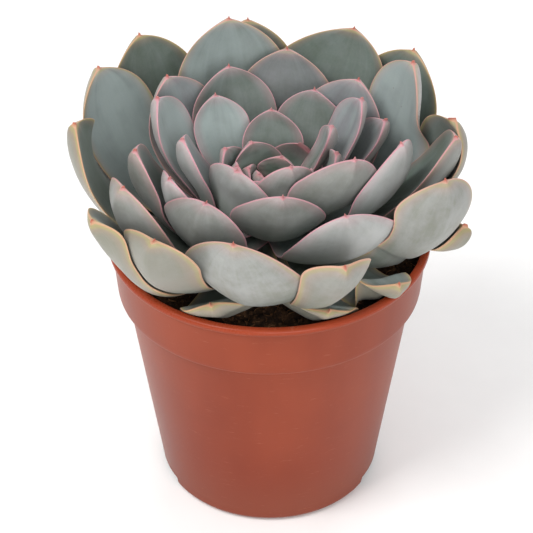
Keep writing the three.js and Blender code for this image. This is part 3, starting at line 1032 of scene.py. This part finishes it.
@dataclass
class Pot:
    """Thin moulded nursery pot: foot, tapered wall, collar band and a rolled lip. Millimetres."""

    rim_radius: float
    height: float
    wall: float = 1.5
    foot_radius: float = 40.0
    heel_radius: float = 42.6
    heel_height: float = 3.0
    neck_radius: float = 58.5
    band_radius: float = 57.0
    band_height: float = 22.0
    wall_top_radius: float = 53.8
    corner_radius: float = 36.0
    corner_rise: float = 4.5
    corner_angle: float = 64.0
    hole_radius: float = 3.0
    hole_circle: float = 26.0
    holes: int = 6
    hole_sides: int = 24
    chamfer_foot: float = 33.5
    chamfer_top: float = 9.0
    sides: int = 360

    def outline(self) -> Array:
        """The wall's section: from the foot's middle up outside, over the lip, and down to the floor."""
        top = self.height
        step = top - self.band_height
        t = self.wall
        lip = self.rim_radius
        neck = self.neck_radius
        corners = [
            (2, 0, 0), (self.foot_radius, 0, 0.8), (self.heel_radius - 0.3, 1.6, 1.2),
            (self.heel_radius, self.heel_height + 2, 1.5),
            (self.wall_top_radius, step - 1.2, 0.8), (self.wall_top_radius + 0.7, step - 0.3, 0.5),
            (self.band_radius - 0.2, step, 0.9), (self.band_radius + 0.1, step + 1.6, 1.0),
            (neck, top - 3.4, 0.8), (neck + 0.15, top - 2.7, 0.4), (lip - 0.1, top - 2.5, 0.7),
            (lip, top - 0.9, 0.9), (lip - 0.9, top, 0.9), (neck - t - 0.1, top - 0.1, 0.8),
            (neck - t, top - 3, 1.5), (self.band_radius - t, step + 1.8, 1.5),
            (self.wall_top_radius - t, step - 0.5, 1.5),
            (self.heel_radius - t - 0.4, self.chamfer_top, 2),
            (self.chamfer_foot, t, 2), (2, t, 0),
        ]
        return refined(rounded(corners), 3.0)

    def surface(self) -> Surface:
        """Turns the section round the axis and lifts the two drain corners.

        A point of the outer foot inside a drain corner's angle is raised to a slope of 45 degrees that
        starts at the corner radius and ends at the corner's rise.

        Returns:
            The closed surface.
        """
        outline = self.outline()
        turn = np.arange(self.sides) / self.sides * 2 * np.pi
        radius = outline[:, 0][:, None] + 0 * turn
        height = outline[:, 1][:, None] + 0 * turn
        top_row = int(np.argmax(outline[:, 1]))
        outer = (np.arange(len(outline)) <= top_row)[:, None]
        away = np.degrees(np.abs((turn + np.pi / 2) % np.pi - np.pi / 2))[None, :]
        inside = 1 - smooth_step(self.corner_angle / 2 - 1.2, self.corner_angle / 2 + 1.2, away)
        slope = np.clip(radius - self.corner_radius, 0, self.corner_rise)
        raised = np.maximum(height, slope * inside)
        height = np.where(outer & (height < self.corner_rise), raised, height)
        wobble = Lattice(5).at(np.stack([np.cos(turn) * 1.3 + 4, np.sin(turn) * 1.3 + 4, 0 * turn], -1))
        radius = radius * (1 + 0.0016 * wobble * (height / self.height) ** 2)
        points = np.stack([radius * np.cos(turn), radius * np.sin(turn), height], axis=-1)
        flat = points.reshape(-1, 3)
        poles = np.array([[0, 0, 0], [0, 0, self.wall]], float)
        return Surface(np.concatenate([flat, poles]) * MM, tube_faces(len(outline), self.sides))

    def build(self, plastic: Material) -> None:
        """Makes the pot's piece and cuts its drain holes.

        Args:
            plastic: The pot's finish.
        """
        shell = self.surface().made("pot_shell", "pot", plastic, ["pot"])
        turn = (np.arange(self.holes) + 0.5) / self.holes * 2 * np.pi
        sides = self.hole_sides
        ring = np.arange(sides) / sides * 2 * np.pi
        circle = np.stack([np.cos(ring), np.sin(ring)], -1) * self.hole_radius
        levels = np.array([-3.0, 5.0])
        points, faces = [], []
        for number, angle in enumerate(turn):
            middle = np.array([math.cos(angle), math.sin(angle)]) * self.hole_circle
            rings = [np.c_[circle + middle, np.full(sides, level)] for level in levels]
            ends = [np.r_[middle, level][None] for level in levels]
            points.append(np.concatenate(rings + ends))
            start = number * (2 * sides + 2)
            faces += [[corner + start for corner in face] for face in tube_faces(2, sides)]
        mesh = bpy.data.meshes.new("drain_cutter")
        mesh.from_pydata((np.concatenate(points) * MM).tolist(), [], faces)
        cutter = linked("drain_cutter", mesh)
        cut = shell.modifiers.new("drain_holes", "BOOLEAN")
        cut.operation = "DIFFERENCE"
        cut.solver = "EXACT"
        cut.object = cutter
        bpy.context.view_layer.update()
        done = bpy.data.meshes.new_from_object(shell.evaluated_get(bpy.context.evaluated_depsgraph_get()))
        shell.modifiers.clear()
        shell.data = done
        bpy.data.objects.remove(cutter)
        LOG.info("pot_shell: %d drain holes cut", self.holes)


@dataclass
class Soil:
    """Peat plug: a lumpy top just under the lip, with crumbs and fibres lying on it. Millimetres."""

    radius: float
    top: float
    floor: float
    mound: float = 1.5
    crumbs: int = 2600
    fibres: int = 260
    sides: int = 300
    rings: int = 110
    seed: int = 20

    def level(self, x: Array, y: Array) -> Array:
        """Height of the top: a low mound with lumps of three sizes."""
        share = np.hypot(x, y) / self.radius
        spots = np.stack([x, y, 0 * x + 11], -1)
        coarse = Lattice(self.seed).at(spots / 9.0, 3)
        fine = Lattice(self.seed + 1).at(spots / 2.2, 3)
        dip = -0.8 * smooth_step(0.94, 1.0, share)
        return self.top - 1.6 + self.mound * (1 - share) + 0.9 * coarse + 0.55 * fine + dip

    def surface(self) -> Surface:
        """The plug: up its side from a flat floor, then in over the top in rings.

        Returns:
            The closed surface.
        """
        turn = np.arange(self.sides) / self.sides * 2 * np.pi
        r = self.radius
        low = np.array([[r * 0.72, self.floor], [r * 0.76, 9], [r * 0.93, self.top - 14]])
        ring = np.linspace(1, 0.02, self.rings) * (r - 0.1)
        radius = np.concatenate([low[:, 0], ring])[:, None] + 0 * turn
        height = np.concatenate([low[:, 1], ring * 0])[:, None] + 0 * turn
        x, y = radius * np.cos(turn), radius * np.sin(turn)
        height[len(low):] = self.level(x[len(low):], y[len(low):])
        points = np.stack([x, y, height], -1)
        poles = np.array([[0, 0, self.floor], [0, 0, float(height[-1].mean())]])
        faces = tube_faces(len(points), self.sides)
        return Surface(np.concatenate([points.reshape(-1, 3), poles]) * MM, faces)

    def scattered(self, count: int, rng: np.random.Generator, inner: float) -> tuple:
        """Random places on the top, evenly spread over its area.

        Args:
            count: Number of places.
            rng: The generator.
            inner: Share of the radius inside which nothing lies.

        Returns:
            The places' x, y and height.
        """
        far = np.sqrt(rng.uniform(inner**2, 0.975**2, count)) * self.radius
        turn = rng.uniform(0, 2 * np.pi, count)
        x, y = far * np.cos(turn), far * np.sin(turn)
        return x, y, self.level(x, y)

    def crumb_surface(self) -> Surface:
        """Crumbs: one rough twenty-sided lump, stretched, turned and scaled at random for each.

        Returns:
            All crumbs as one surface.
        """
        rng = np.random.default_rng(self.seed)
        golden = (1 + 5**0.5) / 2
        lump = np.array([
            (-1, golden, 0), (1, golden, 0), (-1, -golden, 0), (1, -golden, 0),
            (0, -1, golden), (0, 1, golden), (0, -1, -golden), (0, 1, -golden),
            (golden, 0, -1), (golden, 0, 1), (-golden, 0, -1), (-golden, 0, 1),
        ]) / 1.9
        sides = np.array([
            (0, 11, 5), (0, 5, 1), (0, 1, 7), (0, 7, 10), (0, 10, 11), (1, 5, 9), (5, 11, 4), (11, 10, 2),
            (10, 7, 6), (7, 1, 8), (3, 9, 4), (3, 4, 2), (3, 2, 6), (3, 6, 8), (3, 8, 9), (4, 9, 5),
            (2, 4, 11), (6, 2, 10), (8, 6, 7), (9, 8, 1),
        ])
        x, y, z = self.scattered(self.crumbs, rng, 0.25)
        size = 0.35 + 0.75 * rng.power(0.45, self.crumbs)[::-1] * rng.uniform(0.3, 1.0, self.crumbs)
        stretch = rng.uniform(0.55, 1.35, (self.crumbs, 1, 3))
        rough = rng.normal(0, 0.12, (self.crumbs, 12, 3))
        turn = random_turns(rng, self.crumbs)
        shapes = np.einsum("nij,nkj->nki", turn, (lump + rough) * stretch) * size[:, None, None]
        points = shapes + np.stack([x, y, z + size * 0.25], -1)[:, None, :]
        faces = sides[None] + (np.arange(self.crumbs) * 12)[:, None, None]
        return Surface(points.reshape(-1, 3) * MM, faces.reshape(-1, 3).tolist(), smooth=False)

    def fibre_surface(self) -> Surface:
        """Fibres: thin five-sided strands, each bent by a quadratic curve and lying at a slight slope.

        Returns:
            All fibres as one surface.
        """
        rng = np.random.default_rng(self.seed + 7)
        count, rows, columns = self.fibres, 8, 5
        x, y, z = self.scattered(count, rng, 0.45)
        length = rng.uniform(1.5, 5.5, count)
        thick = rng.uniform(0.10, 0.26, count)
        heading = rng.uniform(0, 2 * np.pi, count)
        curl = rng.uniform(-0.5, 0.5, count)
        lift = rng.uniform(-0.10, 0.28, count)
        share = np.linspace(-0.5, 0.5, rows)
        ahead = share[None] * length[:, None]
        aside = curl[:, None] * length[:, None] * (share[None] ** 2) * 2
        run = np.stack([ahead, aside, lift[:, None] * ahead + 0 * ahead], -1)
        ring = np.arange(columns) / columns * 2 * np.pi
        taper = np.sqrt(np.clip(1 - (2 * share) ** 4, 0.15, 1))
        offset = np.stack([0 * ring, np.cos(ring), np.sin(ring)], -1)
        swell = thick[:, None, None, None] * taper[None, :, None, None]
        tube = run[:, :, None, :] + swell * offset[None, None]
        cos, sin = np.cos(heading)[:, None, None], np.sin(heading)[:, None, None]
        on, off, up = np.moveaxis(tube, -1, 0)
        turned = np.stack([on * cos - off * sin, on * sin + off * cos, up], -1)
        level = (z + 0.55)[:, None, None, None] * np.array([0, 0, 1.0])
        spot = np.stack([x, y, 0 * x], -1)[:, None, None, :]
        points = (turned + spot + level).reshape(count, rows * columns, 3)
        ends = points.reshape(count, rows, columns, 3)
        poles = np.stack([ends[:, 0].mean(1), ends[:, -1].mean(1)], 1)
        points = np.concatenate([points, poles], axis=1)
        one = tube_faces(rows, columns)
        stride = rows * columns + 2
        faces = [[corner + stride * n for corner in face] for n in range(count) for face in one]
        return Surface(points.reshape(-1, 3) * MM, faces)

    def build(self, peat: Material, crumb: Material, fibre: Material) -> None:
        """Makes the plug, the crumbs and the fibres.

        Args:
            peat: Finish of the plug.
            crumb: Finish of the crumbs.
            fibre: Finish of the fibres.
        """
        self.surface().made("peat_plug", "soil", peat, ["soil"])
        self.crumb_surface().made("peat_crumbs", "soil", crumb)
        self.fibre_surface().made("peat_fibres", "soil", fibre)


def random_turns(rng: np.random.Generator, count: int) -> Array:
    """Random rotations, each the orthogonal part of a random matrix.

    Args:
        rng: The generator.
        count: Number of rotations.

    Returns:
        One 3 by 3 matrix each.
    """
    made, _ = np.linalg.qr(rng.normal(0, 1, (count, 3, 3)))
    return made * np.sign(np.linalg.det(made))[:, None, None]


@dataclass
class Stem:
    """Short tapering stem with a ring of scars for every fallen leaf. Rosette millimetres."""

    rosette: Rosette
    foot: float = -14.0
    top: float = 20.0
    radius: float = 7.6
    top_radius: float = 2.6
    rows: int = 90
    columns: int = 64

    def build(self, bark: Material) -> None:
        """Makes the stem's piece: rings whose radius tapers upwards and swells at each scar.

        Args:
            bark: The stem's finish.
        """
        share = np.linspace(0, 1, self.rows)[:, None]
        turn = (np.arange(self.columns) / self.columns * 2 * np.pi)[None, :]
        taper = self.radius + (self.top_radius - self.radius) * smooth_step(0.35, 1.0, share)
        scars = 0.22 * np.sin(share * 2 * np.pi * 13 + turn) + 0.12 * np.sin(turn * 5 + share * 31)
        radius = taper + scars * taper / self.radius
        height = self.foot + (self.top - self.foot) * share + 0 * turn
        points = np.stack([radius * np.cos(turn), radius * np.sin(turn), height], -1)
        poles = np.array([[0, 0, self.foot], [0, 0, self.top + 0.6]], float)
        points = self.rosette.world(np.concatenate([points.reshape(-1, 3), poles]))
        faces = tube_faces(self.rows, self.columns)
        Surface(points, faces).made("stem_skin", "stem", bark, ["stem"])


# Studio


@dataclass(frozen=True)
class Lamp:
    """One rectangular soft light: metres, watts and a linear colour."""

    name: str
    place: tuple
    size: tuple
    power: float
    colour: tuple = (1.0, 1.0, 1.0)
    aim: tuple = (0.0, 0.0, 0.1)

    def build(self) -> None:
        """Adds the light, facing the point that it aims at."""
        data = bpy.data.lights.new(self.name, "AREA")
        data.shape = "RECTANGLE"
        data.size, data.size_y = self.size
        data.energy = self.power
        data.color = self.colour
        lamp = linked(self.name, data)
        lamp.location = self.place
        facing = Vector(self.place) - Vector(self.aim)
        lamp.rotation_euler = facing.to_track_quat("Z", "Y").to_euler()


@dataclass
class Studio:
    """Pale floor, soft lights and the camera. Metres and degrees."""

    camera_place: tuple = (0.0, -0.606, 0.537)
    camera_pitch: float = 36.35
    camera_yaw: float = -0.10
    camera_roll: float = -0.15
    lens: float = 135.1
    sensor: float = 36.0
    floor_half: float = 3.0
    sky_strength: float = 0.62
    lamps: tuple = (
        Lamp("key_light", (-0.75, -0.55, 1.4), (0.7, 0.7), 15.0, (1.0, 0.99, 0.97)),
        Lamp("front_light", (0.35, -1.6, 0.75), (1.2, 0.9), 15.0),
        Lamp("back_light", (0.3, 1.3, 1.1), (1.4, 0.8), 8.0),
    )

    def camera(self) -> None:
        """Places the camera in front of the pot, looking down on it."""
        data = bpy.data.cameras.new("camera")
        data.lens = self.lens
        data.sensor_width = self.sensor
        data.clip_start = 0.05
        data.clip_end = 20
        camera = linked("camera", data)
        tilt = Matrix.Rotation(math.radians(90 - self.camera_pitch), 4, "X")
        turn = Matrix.Rotation(math.radians(-self.camera_yaw), 4, "Z")
        roll = Matrix.Rotation(math.radians(self.camera_roll), 4, "Z")
        camera.matrix_world = Matrix.Translation(self.camera_place) @ turn @ tilt @ roll
        bpy.context.scene.camera = camera

    def floor(self) -> None:
        """Lays a plain pale floor under the pot."""
        h = self.floor_half
        mesh = bpy.data.meshes.new("floor")
        mesh.from_pydata([(-h, -h, 0), (h, -h, 0), (h, h, 0), (-h, h, 0)], [], [(0, 1, 2, 3)])
        g = Graph("pale_floor")
        speck = g.noise(g.place(), 60.0, 3.0, 0.5)
        colour = g.mix(speck, srgb(250, 250, 250), srgb(246, 246, 246))
        mesh.materials.append(g.finish({"Base Color": colour}, {"Roughness": 0.9, "Specular IOR Level": 0.1}))
        floor = linked("floor", mesh)

    def build(self) -> None:
        """Sets up the world, the floor, the lights and the camera."""
        world = bpy.data.worlds.new("studio_world")
        world.use_nodes = True
        sky = world.node_tree.nodes["Background"]
        sky.inputs["Color"].default_value = WHITE
        sky.inputs["Strength"].default_value = self.sky_strength
        bpy.context.scene.world = world
        bpy.context.scene.view_settings.view_transform = "Standard"
        for lamp in self.lamps:
            lamp.build()
        self.floor()
        self.camera()


def main() -> None:
    """Builds the plant piece by piece round the frame."""
    logging.basicConfig(level=logging.INFO, format="%(name)s: %(message)s")
    Studio().build()
    pot_low, pot_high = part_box("pot")
    rim_height = pot_high.z / MM
    rim_radius = (pot_high.x - pot_low.x) / 2 / MM
    soil_low, soil_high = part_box("soil")
    pot = Pot(rim_radius=rim_radius, height=rim_height)
    pot.build(PotPlastic().made(pot_low.z, pot_high.z))
    soil = Soil(
        radius=(soil_high.x - soil_low.x) / 2 / MM,
        top=soil_high.z / MM,
        floor=soil_low.z / MM,
    )
    soil.build(
        Peat().made(),
        Peat("peat_crumb", srgb(46, 30, 20), srgb(110, 78, 52)).made(),
        Peat("peat_fibre", srgb(98, 66, 40), srgb(160, 120, 84)).made(),
    )
    rosette = Rosette(rim_height=rim_height, soil_top=soil_high.z / MM)
    Stem(rosette).build(StemBark().made())
    rosette.build(LeafSkin().made())


if __name__ == "__main__":
    main()
